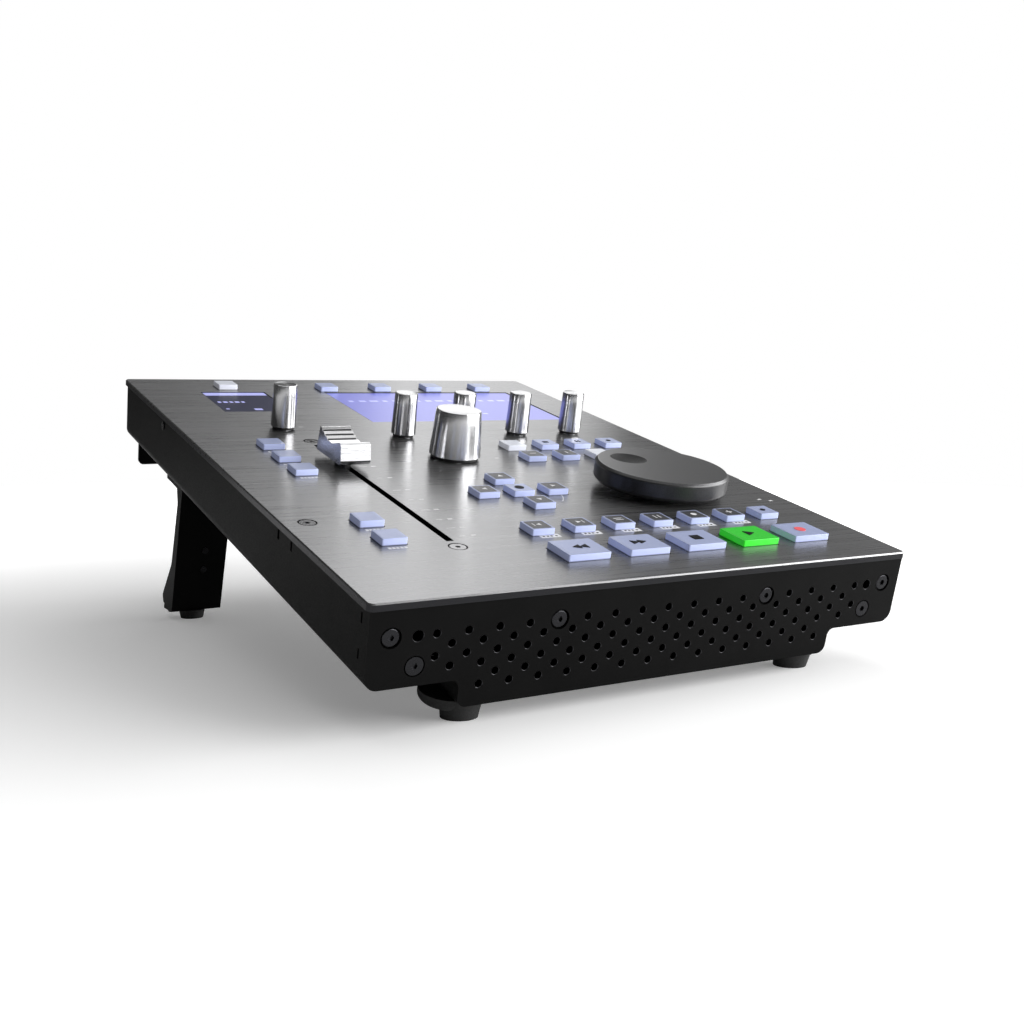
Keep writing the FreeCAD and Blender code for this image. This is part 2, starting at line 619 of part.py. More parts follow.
def side_screw(side):
    start = FreeCAD.Vector(side * (CASE_HALF_W + 0.45), SIDE_SCREW[0], SIDE_SCREW[1])
    head = Part.makeCylinder(1.7, 0.45, start, FreeCAD.Vector(-side, 0, 0))
    shank = Part.makeCylinder(1.0, 4.5, start, FreeCAD.Vector(-side, 0, 0))
    return head.fuse(shank)


def leg_screw(x, y):
    head = post(x, y, WING_Z - LEG_T - 1.4, WING_Z - LEG_T, 2.7)
    shank = post(x, y, WING_Z - LEG_T, WING_Z + 4.0, 1.45)
    return head.fuse(shank).cut(hex_socket(x, y, WING_Z - LEG_T - 2, WING_Z - LEG_T - 0.5, 1.1))


def screws():
    solids = [plate_screw(x, y) for x, y in PLATE_SCREWS]
    solids += [front_screw(x, z, 0.9) for x, z in FRONT_BUTTON_SCREWS]
    solids += [front_screw(x, z, 1.05) for x, z in FRONT_FLUSH_SCREWS]
    for side in (-1, 1):
        solids.append(side_screw(side))
        solids += [leg_screw(x, y) for x, y in leg_bolts(side)]
        solids += [rod_y(side * LEG_PIN_X, z, y - 0.4, y + LEG_T + 0.4, LEG_PIN_R) for y, z in leg_pins()]
    return solids


# ---- write every node ---------------------------------------------------------------------
def main():
    os.makedirs("parts", exist_ok=True)
    write("top_plate", top_plate())
    write("front_panel", front_panel())
    write("chassis_shell", chassis_shell())
    write("rear_panel", rear_panel())
    for name, sizes in DISPLAYS.items():
        write(name, display(*sizes))
    write("main_board", main_board())
    write("key_switches", *switches())
    write("encoder_bodies", *[encoder(x, y) for x, y in list(SMALL_KNOBS.values()) + [BIG_KNOB]])
    write("jog_bearing", jog_bearing())
    write("fader_body", fader_body())
    write("rubber_feet", front_foot(-1), front_foot(1), stand_foot(-1), stand_foot(1))
    write("stand_legs", stand_leg(-1), stand_leg(1))
    write("screws", *screws())
    write("footswitch_jacks", *[jack(x) for x in JACK_X])
    write("rear_sockets", power_inlet(), *[usb_socket(x) for x in USB_X])
    write("power_button", power_button())
    write("fader_cap", fader_cap())
    write("fader_carriage", fader_carriage())
    write("jog_wheel", jog_wheel())
    write("knob_select", *knob(*BIG_KNOB, BIG_KNOB_R, BIG_KNOB_TOP_Z))
    for name, (x, y) in SMALL_KNOBS.items():
        write(name, *knob(x, y, SMALL_KNOB_R, SMALL_KNOB_TOP_Z))
    for name, (x, y) in KEYS.items():
        write(name, key(x, y, KEY_SIZE, KEY_SIZE))
    for name, (x, y) in PADS.items():
        write(name, key(x, y, PAD_W, PAD_D))


main()
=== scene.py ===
import json
import math

import bpy
from mathutils import Matrix, Vector

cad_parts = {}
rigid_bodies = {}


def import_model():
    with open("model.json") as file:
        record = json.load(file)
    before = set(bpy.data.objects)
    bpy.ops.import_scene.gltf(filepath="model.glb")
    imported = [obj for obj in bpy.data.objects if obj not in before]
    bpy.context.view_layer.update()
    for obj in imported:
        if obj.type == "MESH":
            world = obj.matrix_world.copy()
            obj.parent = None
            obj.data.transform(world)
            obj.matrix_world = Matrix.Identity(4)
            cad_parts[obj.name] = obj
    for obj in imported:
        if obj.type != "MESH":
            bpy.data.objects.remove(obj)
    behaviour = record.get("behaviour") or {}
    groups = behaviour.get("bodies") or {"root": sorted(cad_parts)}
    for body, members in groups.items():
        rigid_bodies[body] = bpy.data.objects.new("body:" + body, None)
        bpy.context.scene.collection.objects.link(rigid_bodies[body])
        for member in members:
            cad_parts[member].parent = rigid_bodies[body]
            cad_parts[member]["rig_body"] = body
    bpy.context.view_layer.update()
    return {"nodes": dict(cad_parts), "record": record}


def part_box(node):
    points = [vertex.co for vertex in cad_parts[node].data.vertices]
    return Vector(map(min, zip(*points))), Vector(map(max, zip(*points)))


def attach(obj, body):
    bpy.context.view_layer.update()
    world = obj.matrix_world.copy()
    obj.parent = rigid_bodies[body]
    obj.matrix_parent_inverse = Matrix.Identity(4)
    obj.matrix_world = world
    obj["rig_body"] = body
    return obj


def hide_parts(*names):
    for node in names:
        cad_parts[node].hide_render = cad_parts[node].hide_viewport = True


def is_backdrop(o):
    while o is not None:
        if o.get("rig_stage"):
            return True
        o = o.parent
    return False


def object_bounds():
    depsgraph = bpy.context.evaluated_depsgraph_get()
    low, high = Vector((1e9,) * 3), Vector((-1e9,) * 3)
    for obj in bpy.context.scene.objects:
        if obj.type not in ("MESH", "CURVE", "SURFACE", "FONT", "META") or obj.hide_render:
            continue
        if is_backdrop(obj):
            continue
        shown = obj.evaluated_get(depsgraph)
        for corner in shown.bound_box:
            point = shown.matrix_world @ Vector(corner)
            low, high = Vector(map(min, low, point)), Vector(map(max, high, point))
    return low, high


# Looks of the single-fader control surface. Pieces are drawn in the panel frame of
# the CAD source, in millimetres: origin at the middle of the top plate's front edge,
# +X right, +Y to the back, +Z up out of the plate.

TILT = math.radians(13.03)
PLATE_T = 2.3
PLATE_CHAMFER = 0.4
GLASS_Z = -0.25
PRINT_Z = 0.02
PRINT_T = 0.02
KEY_SHADE_Z = (-0.2, 0.45)     # painted shade: a key's wall is painted dark at its foot, fading to its lit colour between these heights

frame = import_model()
nodes = frame["nodes"]

plate_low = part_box("top_plate")[0]
edge_y = plate_low.y - 0.001 * PLATE_CHAMFER * math.sin(TILT)
edge_z = plate_low.z + 0.001 * PLATE_T * math.cos(TILT)
PANEL = Matrix.Translation((0, edge_y, edge_z)) @ Matrix.Rotation(TILT, 4, "X")
TO_PANEL = PANEL.inverted()


def panel_points(node):
    """The points of a CAD node in the panel frame, in millimetres."""
    return [TO_PANEL @ vertex.co * 1000 for vertex in nodes[node].data.vertices]


def panel_box(node):
    """Lowest and highest corner of a CAD node in the panel frame."""
    points = panel_points(node)
    low = Vector([min(point[axis] for point in points) for axis in range(3)])
    high = Vector([max(point[axis] for point in points) for axis in range(3)])
    return low, high


def middle(low, high):
    return (low.x + high.x) / 2, (low.y + high.y) / 2


# ---- materials ---------------------------------------------------------------------
PLATE_NORMAL = (0.0, -math.sin(TILT), math.cos(TILT))
PLATE_BACK = (0.0, math.cos(TILT), math.sin(TILT))


class Paint:
    """A node material with a Principled shader and a few helpers."""

    def __init__(self, name, color, metallic=0.0, roughness=0.5, **sockets):
        self.material = bpy.data.materials.new(name)
        self.material.use_nodes = True
        self.tree = self.material.node_tree
        self.shader = self.tree.nodes["Principled BSDF"]
        self.set("Base Color", (*color, 1.0))
        self.set("Metallic", metallic)
        self.set("Roughness", roughness)
        for socket, value in sockets.items():
            self.set(socket.replace("_", " "), value)
        self.coord = self.node("ShaderNodeTexCoord").outputs["Object"]

    def node(self, kind, **settings):
        made = self.tree.nodes.new(kind)
        for key, value in settings.items():
            setattr(made, key, value)
        return made

    def set(self, socket, value):
        self.shader.inputs[socket].default_value = value

    def link(self, source, target):
        self.tree.links.new(source, target)

    def noise(self, scale, detail=3.0, rough=0.55, source=None):
        mapping = self.node("ShaderNodeMapping")
        mapping.inputs["Scale"].default_value = scale
        self.link(source or self.coord, mapping.inputs["Vector"])
        texture = self.node("ShaderNodeTexNoise")
        texture.inputs["Scale"].default_value = 1.0
        texture.inputs["Detail"].default_value = detail
        texture.inputs["Roughness"].default_value = rough
        self.link(mapping.outputs["Vector"], texture.inputs["Vector"])
        return texture.outputs["Fac"]

    def ramp(self, factor, stops):
        """A colour ramp over (position, colour) stops."""
        made = self.node("ShaderNodeValToRGB")
        elements = made.color_ramp.elements
        while len(elements) < len(stops):
            elements.new(0.5)
        for element, (position, color) in zip(elements, stops):
            element.position = position
            element.color = (*color, 1.0)
        self.link(factor, made.inputs["Fac"])
        return made.outputs["Color"]

    def spread(self, factor, low, high):
        made = self.node("ShaderNodeMapRange")
        made.inputs["From Min"].default_value = 0.3
        made.inputs["From Max"].default_value = 0.7
        made.inputs["To Min"].default_value = low
        made.inputs["To Max"].default_value = high
        self.link(factor, made.inputs["Value"])
        return made.outputs["Result"]

    def roughen(self, factor, low, high):
        self.link(self.spread(factor, low, high), self.shader.inputs["Roughness"])

    def tint(self, factor, dark, light):
        self.link(self.ramp(factor, [(0.3, dark), (0.7, light)]), self.shader.inputs["Base Color"])

    def bump(self, factor, height_mm, strength=1.0):
        made = self.node("ShaderNodeBump")
        made.inputs["Strength"].default_value = strength
        made.inputs["Distance"].default_value = height_mm * 0.001
        self.link(factor, made.inputs["Height"])
        self.link(made.outputs["Normal"], self.shader.inputs["Normal"])

    def facing(self, direction):
        """How far the surface faces a fixed direction of the object, from -1 to 1."""
        geometry = self.node("ShaderNodeNewGeometry")
        dot = self.node("ShaderNodeVectorMath", operation="DOT_PRODUCT")
        dot.inputs[1].default_value = direction
        self.link(geometry.outputs["Normal"], dot.inputs[0])
        return dot.outputs["Value"]

    def smear(self, direction):
        """Stretch the highlights of a brushed or turned metal along a fixed direction."""
        tangent = self.node("ShaderNodeCombineXYZ")
        for axis, value in zip("XYZ", direction):
            tangent.inputs[axis].default_value = value
        self.link(tangent.outputs[0], self.shader.inputs["Tangent"])

    def shade(self, stops):
        """Multiply the paint by a ramp over how far a face looks out of the plate, as painted shade that
        depends on which way a face points.
        """
        mixed = self.node("ShaderNodeMix", data_type="RGBA", blend_type="MULTIPLY")
        mixed.inputs["Factor"].default_value = 1.0
        base = self.shader.inputs["Base Color"]
        self.link(base.links[0].from_socket, mixed.inputs["A"])
        self.link(self.ramp(self.facing(PLATE_NORMAL), stops), mixed.inputs["B"])
        self.link(mixed.outputs["Result"], base)

    def angle(self):
        """Angle round the object's own Z, times a bare radius, with height."""
        split = self.node("ShaderNodeSeparateXYZ")
        self.link(self.coord, split.inputs[0])
        turn = self.node("ShaderNodeMath", operation="ARCTAN2")
        self.link(split.outputs["Y"], turn.inputs[0])
        self.link(split.outputs["X"], turn.inputs[1])
        join = self.node("ShaderNodeCombineXYZ")
        self.link(turn.outputs[0], join.inputs["X"])
        self.link(split.outputs["Z"], join.inputs["Z"])
        return join.outputs[0]


def brushed_plate():
    paint = Paint("brushed_gunmetal", (0.3, 0.3, 0.31), metallic=1.0, roughness=0.3, Anisotropic=0.75)
    fine = paint.noise((90, 7000, 7000), detail=4)
    broad = paint.noise((14, 900, 900), detail=3)
    joined = paint.node("ShaderNodeMath", operation="ADD")
    paint.link(fine, joined.inputs[0])
    paint.link(broad, joined.inputs[1])
    halved = paint.node("ShaderNodeMath", operation="MULTIPLY")
    halved.inputs[1].default_value = 0.5
    paint.link(joined.outputs[0], halved.inputs[0])
    grain = halved.outputs[0]
    streaks = paint.ramp(grain, [(0.3, (0.235, 0.235, 0.24)), (0.7, (0.285, 0.285, 0.29))])
    # painted shade: faces that don't look out of the plate, which are its edges, are painted near black
    # instead of the brushed streaks
    edge = paint.ramp(paint.facing(PLATE_NORMAL), [(0.3, (0, 0, 0)), (0.6, (1, 1, 1))])
    mix = paint.node("ShaderNodeMix", data_type="RGBA")
    mix.inputs["A"].default_value = (0.035, 0.035, 0.038, 1)
    paint.link(edge, mix.inputs["Factor"])
    paint.link(streaks, mix.inputs["B"])
    paint.link(mix.outputs["Result"], paint.shader.inputs["Base Color"])
    paint.roughen(grain, 0.24, 0.34)
    paint.bump(grain, 0.006, 0.16)
    paint.smear(PLATE_BACK)
    return paint.material


def powder_black(name, level=0.003, rough=(0.42, 0.56)):
    paint = Paint(name, (level, level, level * 1.1), Specular_IOR_Level=0.07)
    grain = paint.noise((2600, 2600, 2600), detail=5)
    cloud = paint.noise((60, 60, 60), detail=2)
    paint.tint(cloud, (level * 0.8,) * 3, (level * 1.3,) * 3)
    paint.roughen(grain, *rough)
    paint.bump(grain, 0.02, 0.35)
    return paint.material


def moulded(name, color, rough=(0.35, 0.5), bump=0.01):
    paint = Paint(name, color)
    grain = paint.noise((1800, 1800, 1800), detail=3)
    paint.tint(grain, tuple(c * 0.85 for c in color), tuple(min(1, c * 1.12) for c in color))
    paint.roughen(grain, *rough)
    paint.bump(grain, bump, 0.4)
    return paint.material


def metal(name, color, rough=(0.2, 0.32), scale=(1500, 1500, 1500), bump=0.004, **sockets):
    paint = Paint(name, color, metallic=1.0, **sockets)
    grain = paint.noise(scale, detail=4)
    paint.tint(grain, tuple(c * 0.8 for c in color), tuple(min(1, c * 1.1) for c in color))
    paint.roughen(grain, *rough)
    paint.bump(grain, bump, 0.5)
    return paint.material


def turned_silver():
    paint = Paint("turned_silver", (0.82, 0.82, 0.83), metallic=1.0, Anisotropic=0.8)
    paint.smear(PLATE_NORMAL)
    round_it = paint.angle()
    lines = paint.noise((34, 1, 14), detail=6, rough=0.7, source=round_it)
    paint.tint(lines, (0.62, 0.62, 0.63), (0.86, 0.86, 0.87))
    # painted shade: the knob's top face, which faces out of the plate, is painted darker than its wall
    paint.shade([(0.9, (1, 1, 1)), (0.99, (0.62, 0.62, 0.62))])
    paint.roughen(lines, 0.16, 0.26)
    paint.bump(lines, 0.006, 0.5)
    return paint.material


def satin_jog():
    paint = Paint("jog_anodised", (0.1, 0.1, 0.1), metallic=0.85, roughness=0.36)
    grain = paint.noise((2500, 2500, 2500), detail=4)
    paint.tint(grain, (0.12, 0.12, 0.123), (0.17, 0.17, 0.173))
    # painted shade: the jog's side wall is painted darker than its top
    paint.shade([(0.4, (0.4, 0.4, 0.4)), (0.95, (1, 1, 1))])
    paint.roughen(grain, 0.3, 0.42)
    paint.bump(grain, 0.008, 0.4)
    return paint.material


def screw_metal():
    """Dark chromed screws whose plate-side faces are left bare."""
    paint = Paint("black_screws", (0.07, 0.07, 0.075), metallic=1.0)
    grain = paint.noise((1500, 1500, 1500), detail=4)
    face = paint.facing(PLATE_NORMAL)
    paint.link(paint.ramp(face, [(0.8, (0.035, 0.035, 0.038)), (0.97, (0.24, 0.24, 0.245))]),
               paint.shader.inputs["Base Color"])
    paint.roughen(grain, 0.2, 0.34)
    paint.bump(grain, 0.004, 0.5)
    return paint.material


def lit_plastic(name, top, painted_light_wall, glow):
    """Back-lit key plastic that glows all over. The wall is painted paler and brighter than the duller top
    as painted light, and its foot is darkened as painted shade.
    """
    paint = Paint(name, top, roughness=0.38)
    face = paint.facing(PLATE_NORMAL)
    cloud = paint.noise((900, 900, 900), detail=3)
    split = paint.node("ShaderNodeSeparateXYZ")
    paint.link(paint.coord, split.inputs[0])
    # painted shade: the foot of each key's wall is painted dark, fading out between the KEY_SHADE_Z heights
    foot = paint.node("ShaderNodeMapRange", interpolation_type="SMOOTHSTEP")
    foot.inputs["From Min"].default_value = 0.001 * KEY_SHADE_Z[0]
    foot.inputs["From Max"].default_value = 0.001 * KEY_SHADE_Z[1]
    paint.link(split.outputs["Z"], foot.inputs["Value"])
    mixed = paint.node("ShaderNodeMix", data_type="RGBA")
    mixed.inputs["A"].default_value = (*[c * 0.06 for c in top], 1)
    paint.link(foot.outputs["Result"], mixed.inputs["Factor"])
    # painted light: faces turned away from the plate's normal get the paler, brighter wall colour, and the
    # top gets the duller one
    paint.link(paint.ramp(face, [(0.35, painted_light_wall), (0.92, top)]), mixed.inputs["B"])
    paint.link(mixed.outputs["Result"], paint.shader.inputs["Base Color"])
    paint.link(mixed.outputs["Result"], paint.shader.inputs["Emission Color"])
    paint.set("Emission Strength", glow)
    paint.roughen(cloud, 0.3, 0.46)
    paint.bump(cloud, 0.01, 0.3)
    return paint.material


def glowing(name, color, glow, base=0.5):
    paint = Paint(name, tuple(c * base for c in color), roughness=0.3)
    cloud = paint.noise((300, 300, 300), detail=2)
    shade = paint.ramp(cloud, [(0.2, tuple(c * 0.9 for c in color)), (0.8, color)])
    paint.link(shade, paint.shader.inputs["Emission Color"])
    paint.set("Emission Strength", glow)
    return paint.material


def printed(name, color, **sockets):
    paint = Paint(name, color, roughness=0.55, **sockets)
    grain = paint.noise((4000, 4000, 4000), detail=2)
    paint.tint(grain, tuple(c * 0.85 for c in color), color)
    paint.roughen(grain, 0.45, 0.65)
    return paint.material


MATERIALS = {
    "brushed_panel": brushed_plate(),
    "black_steel": powder_black("black_steel"),
    "display_glass": glowing("display_glass", (0.004, 0.005, 0.02), 0.0),
    "circuit_board": moulded("circuit_board", (0.02, 0.11, 0.05)),
    "black_plastic": moulded("black_plastic", (0.02, 0.02, 0.021)),
    "plain_steel": metal("plain_steel", (0.6, 0.6, 0.61)),
    "bearing_brass": metal("bearing_brass", (0.7, 0.5, 0.24)),
    "foot_rubber": moulded("foot_rubber", (0.015, 0.015, 0.015), rough=(0.6, 0.85), bump=0.03),
    "black_screws": screw_metal(),
    "nickel_jacks": metal("nickel_jacks", (0.6, 0.59, 0.56)),
    "fader_silver": metal("fader_silver", (0.8, 0.8, 0.81), rough=(0.22, 0.34),
                          scale=(120, 3000, 3000), bump=0.001),
    "jog_anodised": satin_jog(),
    "knob_silver": turned_silver(),
    "key_lavender": lit_plastic("key_lavender", (0.29, 0.33, 0.5), (0.55, 0.62, 0.95), 0.12),
    "key_white": lit_plastic("key_white", (0.6, 0.62, 0.68), (0.8, 0.82, 0.9), 0.12),
    "key_green": lit_plastic("key_green", (0.012, 0.45, 0.012), (0.03, 0.8, 0.02), 0.25),
}
KEY_INLAY = moulded("key_inlay", (0.026, 0.027, 0.032))
PRINT_WHITE = printed("print_white", (0.75, 0.75, 0.76))
PRINT_DARK = printed("print_dark", (0.004, 0.004, 0.005), Specular_IOR_Level=0.1)
ICON_RED = glowing("icon_red", (0.9, 0.12, 0.14), 0.5)
ICON_WHITE = printed("icon_white", (0.8, 0.8, 0.82))

slot_of = {part["node"]: part["material_slot"] for part in frame["record"]["subparts"]}
for name, obj in nodes.items():
    obj.data.materials.clear()
    obj.data.materials.append(MATERIALS[slot_of[name]])


# ---- mesh helpers --------------------------------------------------------------------
def add_piece(name, points, faces, body, material, slot=None, centre=(0, 0, 0), smooth=35):
    """A mesh in the panel frame. Points are in millimetres from the given centre."""
    mesh = bpy.data.meshes.new(name)
    mesh.from_pydata([Vector(point) * 0.001 for point in points], [], faces)
    mesh.validate()
    mesh.polygons.foreach_set("use_smooth", [True] * len(mesh.polygons))
    mesh.set_sharp_from_angle(angle=math.radians(smooth))
    mesh.materials.append(material)
    obj = bpy.data.objects.new(name, mesh)
    obj.matrix_world = PANEL @ Matrix.Translation(Vector(centre) * 0.001)
    bpy.context.scene.collection.objects.link(obj)
    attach(obj, body)
    return obj


def rounded_loop(half_x, half_y, radius, z, steps=5):
    """A rounded rectangle's outline about the origin, counter-clockwise."""
    radius = max(radius, 0.05)
    points = []
    for quarter, (sx, sy) in enumerate(((1, 1), (-1, 1), (-1, -1), (1, -1))):
        for step in range(steps + 1):
            turn = math.radians(90 * quarter + 90 * step / steps)
            points.append((sx * (half_x - radius) + radius * math.cos(turn),
                           sy * (half_y - radius) + radius * math.sin(turn), z))
    return points


def skin(loops, close_first=False, close_last=True):
    """Faces over a stack of loops with the same number of points."""
    count = len(loops[0])
    points = [point for loop in loops for point in loop]
    faces = []
    for level in range(len(loops) - 1):
        low, high = level * count, (level + 1) * count
        for k in range(count):
            nxt = (k + 1) % count
            faces.append((low + k, low + nxt, high + nxt, high + k))
    if close_first:
        faces.append(tuple(reversed(range(count))))
    if close_last:
        faces.append(tuple(range((len(loops) - 1) * count, len(loops) * count)))
    return points, faces


def soft_cap(half_x, half_y, corner, z0, z1, edge, dish=0.0, steps=4):
    """A key top: straight wall, rounded upper edge and a slightly dished face."""
    loops = [rounded_loop(half_x, half_y, corner, z0)]
    for step in range(steps + 1):
        turn = math.radians(90 * step / steps)
        inset = edge * (1 - math.cos(turn))
        loops.append(rounded_loop(half_x - inset, half_y - inset, corner - inset,
                                  z1 - edge + edge * math.sin(turn)))
    for share in (0.25, 0.55, 0.85):
        inset = edge + (min(half_x, half_y) - edge) * share
        loops.append(rounded_loop(half_x - inset, half_y - inset, corner,
                                  z1 - dish * math.sin(share * math.pi / 2)))
    return skin(loops)


def lathe(profile, segments=96):
    """A turned solid about the centre's Z from (radius, z) points."""
    loops = []
    for radius, z in profile:
        radius = max(radius, 0.01)
        loops.append([(radius * math.cos(2 * math.pi * k / segments),
                       radius * math.sin(2 * math.pi * k / segments), z) for k in range(segments)])
    return skin(loops)


def plate_shape(outline, z, thickness=PRINT_T):
    """A thin flat prism over a closed (x, y) outline."""
    low = [(x, y, z - thickness) for x, y in outline]
    high = [(x, y, z) for x, y in outline]
    return skin([low, high])


def merge(shapes):
    points, faces = [], []
    for shape_points, shape_faces in shapes:
        start = len(points)
        points += shape_points
        faces += [tuple(start + index for index in face) for face in shape_faces]
    return points, faces


def bar(x, y, width, depth):
    return [(x - width / 2, y - depth / 2), (x + width / 2, y - depth / 2),
            (x + width / 2, y + depth / 2), (x - width / 2, y + depth / 2)]


def disc(x, y, radius, segments=24):
    return [(x + radius * math.cos(2 * math.pi * k / segments),
             y + radius * math.sin(2 * math.pi * k / segments)) for k in range(segments)]


def arrow(x, y, size, turn):
    """A triangle that points along +X before it is turned, in degrees."""
    angle = math.radians(turn)
    corners = ((0.6, 0), (-0.5, 0.62), (-0.5, -0.62))
    return [(x + size * (u * math.cos(angle) - v * math.sin(angle)),
             y + size * (u * math.sin(angle) + v * math.cos(angle))) for u, v in corners]


def arc_strip(x, y, radius, width, start, end, z=PRINT_Z, steps=24):
    """A thin printed arc round (x, y), angles in degrees."""
    shapes = []
    for step in range(steps):
        a = math.radians(start + (end - start) * step / steps)
        b = math.radians(start + (end - start) * (step + 1) / steps)
        outer, inner = radius + width / 2, radius - width / 2
        shapes.append(plate_shape([
            (x + outer * math.cos(a), y + outer * math.sin(a)),
            (x + outer * math.cos(b), y + outer * math.sin(b)),
            (x + inner * math.cos(b), y + inner * math.sin(b)),
            (x + inner * math.cos(a), y + inner * math.sin(a))], z))
    return merge(shapes)


# ---- keys and pads ----------------------------------------------------------------------
ICONS = {
    "key_nav_up": [arrow(0, 0, 1.7, 90)],
    "key_nav_down": [arrow(0, 0, 1.7, -90)],
    "key_nav_left": [arrow(0, 0, 1.7, 180)],
    "key_nav_right": [arrow(0, 0, 1.7, 0)],
    "key_nav_mode": [disc(0, 0, 1.7)],
    "key_row_1": [arrow(0.3, 0, 1.5, 180), bar(-1.5, 0, 0.3, 2.2)],
    "key_row_2": [arrow(-0.3, 0, 1.5, 0), bar(1.5, 0, 0.3, 2.2)],
    "key_row_3": [bar(0, 0.8, 3.2, 0.35), bar(0, -0.6, 3.2, 0.35)],
    "key_row_4": [bar(-0.9, 0, 0.4, 2.6), bar(0.9, 0, 0.4, 2.6)],
    "key_row_5": [disc(0, 0, 1.1)],
    "key_row_6": [bar(0, 0, 2.8, 0.4), bar(0, 0, 0.4, 2.8)],
    "key_row_7": [disc(0, 0, 1.0)],
    "key_upper_2": [bar(0, 0.6, 2.6, 0.35), bar(0, -0.5, 2.6, 0.35)],
    "key_upper_3": [bar(-0.7, 0, 0.4, 2.2), bar(0.7, 0, 0.4, 2.2)],
    "key_upper_4": [disc(0, 0, 1.0)],
    "key_upper_5": [bar(0, 0, 2.6, 0.4)],
    "key_upper_6": [bar(0, 0, 0.4, 2.6)],
    "pad_rewind": [arrow(-1.0, 0, 2.5, 180), arrow(1.7, 0, 2.5, 180)],
    "pad_forward": [arrow(-1.7, 0, 2.5, 0), arrow(1.0, 0, 2.5, 0)],
    "pad_stop": [bar(0, 0, 3.6, 3.6)],
    "pad_play": [arrow(0, 0, 3.2, 0)],
    "pad_record": [disc(0, 0, 2.0)],
}
DARK_TOPS = {"key_nav_up", "key_nav_left", "key_nav_right", "key_nav_down",
             "key_upper_5", "key_upper_6"} | {f"key_row_{k}" for k in range(1, 7)}
CAP_SKIRT = 1.0                # the CAD key is this much wider below the plate, each side
CAP_CORNER = 0.5
CAP_ROOT_Z = -2.0
CAP_EDGE = 0.22
CAP_DISH = 0.08
INLAY_RIM = 0.8
INLAY_RISE = 0.1
ICON_RISE = 0.14
TOP_FILM = 0.3                 # thickness of an inlay or icon

for name in sorted(nodes):
    if not name.startswith(("key_", "pad_")) or name == "key_switches":
        continue
    body = nodes[name]["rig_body"]
    low, high = panel_box(name)
    centre = (*middle(low, high), 0)
    half_x = (high.x - low.x) / 2 - CAP_SKIRT
    half_y = (high.y - low.y) / 2 - CAP_SKIRT
    slot = slot_of[name]
    shape = soft_cap(half_x, half_y, CAP_CORNER, CAP_ROOT_Z, high.z, CAP_EDGE, CAP_DISH)
    cap = add_piece(name + "_cap", *shape, body, MATERIALS[slot], slot, centre, smooth=50)
    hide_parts(name)
    top = high.z - CAP_DISH * 0.5
    if name in DARK_TOPS:
        inlay = rounded_loop(half_x - INLAY_RIM, half_y - INLAY_RIM, 0.3, 0)
        shape = plate_shape([(x, y) for x, y, _ in inlay], top + INLAY_RISE, TOP_FILM)
        add_piece(name + "_inlay", *shape, body, KEY_INLAY, "black_plastic", centre)
    if name in ICONS:
        material = PRINT_DARK
        if name in DARK_TOPS:
            material = ICON_WHITE
        if name == "pad_record":
            material = ICON_RED
        shapes = [plate_shape(outline, top + ICON_RISE, TOP_FILM) for outline in ICONS[name]]
        add_piece(name + "_icon", *merge(shapes), body, material, "black_plastic", centre)


# ---- knobs ------------------------------------------------------------------------------
KNOB_BASE_Z = 1.4
KNOB_BORE_R = 3.0
KNOB_TAPER = 0.933
BIG_KNOB_TAPER = 0.875
# painted shade: a black ring under each knob stands for the shade in the gap between knob and plate
SHADE_RING_INSET = 0.8
SHADE_RING_Z = (0.3, 1.7)
SHADE_RING_BLACK = moulded("shade_ring_black", (0.005, 0.005, 0.005), rough=(0.5, 0.65))


def knob_profile(low_r, high_r, top_z):
    """Radius and height from the hollow foot up the tapered wall to the dished top."""
    lip = min(0.55, low_r * 0.08)
    wall = [(KNOB_BORE_R, KNOB_BASE_Z + 0.4), (low_r - 0.6, KNOB_BASE_Z + 0.4), (low_r - 0.35, KNOB_BASE_Z),
            (low_r - 0.1, KNOB_BASE_Z), (low_r, KNOB_BASE_Z + 0.12)]
    shoulder = top_z - lip
    profile = wall + [(high_r + (low_r - high_r) * share, shoulder - (shoulder - KNOB_BASE_Z) * share)
                      for share in (0.75, 0.5, 0.25)]
    profile += [(high_r, shoulder), (high_r - lip * 0.3, top_z - lip * 0.3), (high_r - lip, top_z)]
    profile += [(high_r - lip * 1.7, top_z - 0.06), (high_r * 0.5, top_z - 0.14), (0, top_z - 0.16)]
    return profile


for name in ("knob_channel", "knob_1", "knob_2", "knob_3", "knob_4", "knob_select"):
    low, high = panel_box(name)
    low_r = (high.x - low.x) / 2
    high_r = low_r * (BIG_KNOB_TAPER if name == "knob_select" else KNOB_TAPER)
    centre = (*middle(low, high), 0)
    knob = add_piece(name + "_cap", *lathe(knob_profile(low_r, high_r, high.z)),
                     nodes[name]["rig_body"], MATERIALS["knob_silver"], "knob_silver", centre)
    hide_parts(name)
    # painted shade ring in the gap under the knob
    add_piece(name + "_shade_ring", *lathe([(low_r - SHADE_RING_INSET, z) for z in SHADE_RING_Z], 48),
              nodes[name]["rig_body"], SHADE_RING_BLACK, "black_plastic", centre)


# ---- fader cap: painted shade in the grooves between the grip ribs, and a dark foot -----------
def x_prism(profile, x0, x1):
    """A prism along X over (y, z) points."""
    return skin([[(x, y, z) for y, z in profile] for x in (x0, x1)], close_first=True)


